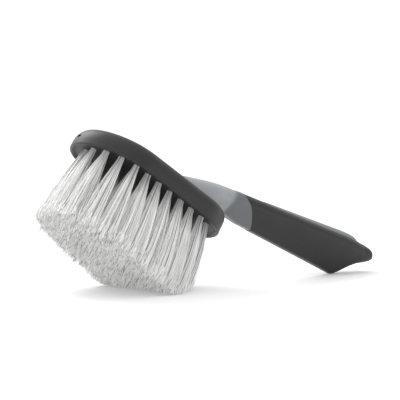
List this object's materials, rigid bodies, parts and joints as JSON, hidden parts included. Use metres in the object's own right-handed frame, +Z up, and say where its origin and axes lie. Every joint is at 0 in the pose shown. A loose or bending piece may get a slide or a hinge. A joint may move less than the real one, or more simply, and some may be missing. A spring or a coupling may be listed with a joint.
{
  "type": "wheel brush",
  "caption": "Short-handled wheel brush with a round-ended head, splayed pale bristle tufts, a soft bumper and a soft-grip handle with a hanging hole.",
  "frame": {"origin": "middle of the bounding box on the floor that the brush lies on", "axes": "+Z up from the floor; +X from the brush head to the end of the grip; XZ is the plane of symmetry"},
  "size_m": [0.2554, 0.0692, 0.0941],
  "materials": {
    "core_plastic": "moulded light grey polypropylene, fine satin texture",
    "soft_rubber": "moulded dark grey thermoplastic rubber, satin",
    "block_plastic": "moulded black polypropylene",
    "anchor_wire": "flat galvanised staple wire",
    "bristle": "off-white crimped synthetic filament with feathered ends"
  },
  "bodies": {
    "root": {"handle_core": "core_plastic", "soft_grip": "soft_rubber", "head_bumper": "soft_rubber", "tuft_block": "block_plastic", "wire_anchors": "anchor_wire", "tuft_outer_01": "bristle", "tuft_outer_02": "bristle", "tuft_outer_03": "bristle", "tuft_outer_04": "bristle", "tuft_outer_05": "bristle", "tuft_outer_06": "bristle", "tuft_outer_07": "bristle", "tuft_outer_08": "bristle", "tuft_outer_09": "bristle", "tuft_outer_10": "bristle", "tuft_outer_11": "bristle", "tuft_outer_12": "bristle", "tuft_outer_13": "bristle", "tuft_outer_14": "bristle", "tuft_outer_15": "bristle", "tuft_outer_16": "bristle", "tuft_outer_17": "bristle", "tuft_outer_18": "bristle", "tuft_outer_19": "bristle", "tuft_outer_20": "bristle", "tuft_outer_21": "bristle", "tuft_outer_22": "bristle", "tuft_outer_23": "bristle", "tuft_outer_24": "bristle", "tuft_inner_01": "bristle", "tuft_inner_02": "bristle", "tuft_inner_03": "bristle", "tuft_inner_04": "bristle", "tuft_inner_05": "bristle", "tuft_inner_06": "bristle", "tuft_inner_07": "bristle", "tuft_inner_08": "bristle", "tuft_inner_09": "bristle", "tuft_inner_10": "bristle", "tuft_inner_11": "bristle", "tuft_inner_12": "bristle", "tuft_inner_13": "bristle", "tuft_inner_14": "bristle", "tuft_inner_15": "bristle", "tuft_inner_16": "bristle", "tuft_inner_17": "bristle", "tuft_spine_01": "bristle", "tuft_spine_02": "bristle", "tuft_spine_03": "bristle", "tuft_spine_04": "bristle", "tuft_spine_05": "bristle", "tuft_spine_06": "bristle"}
  },
  "joints": []
}
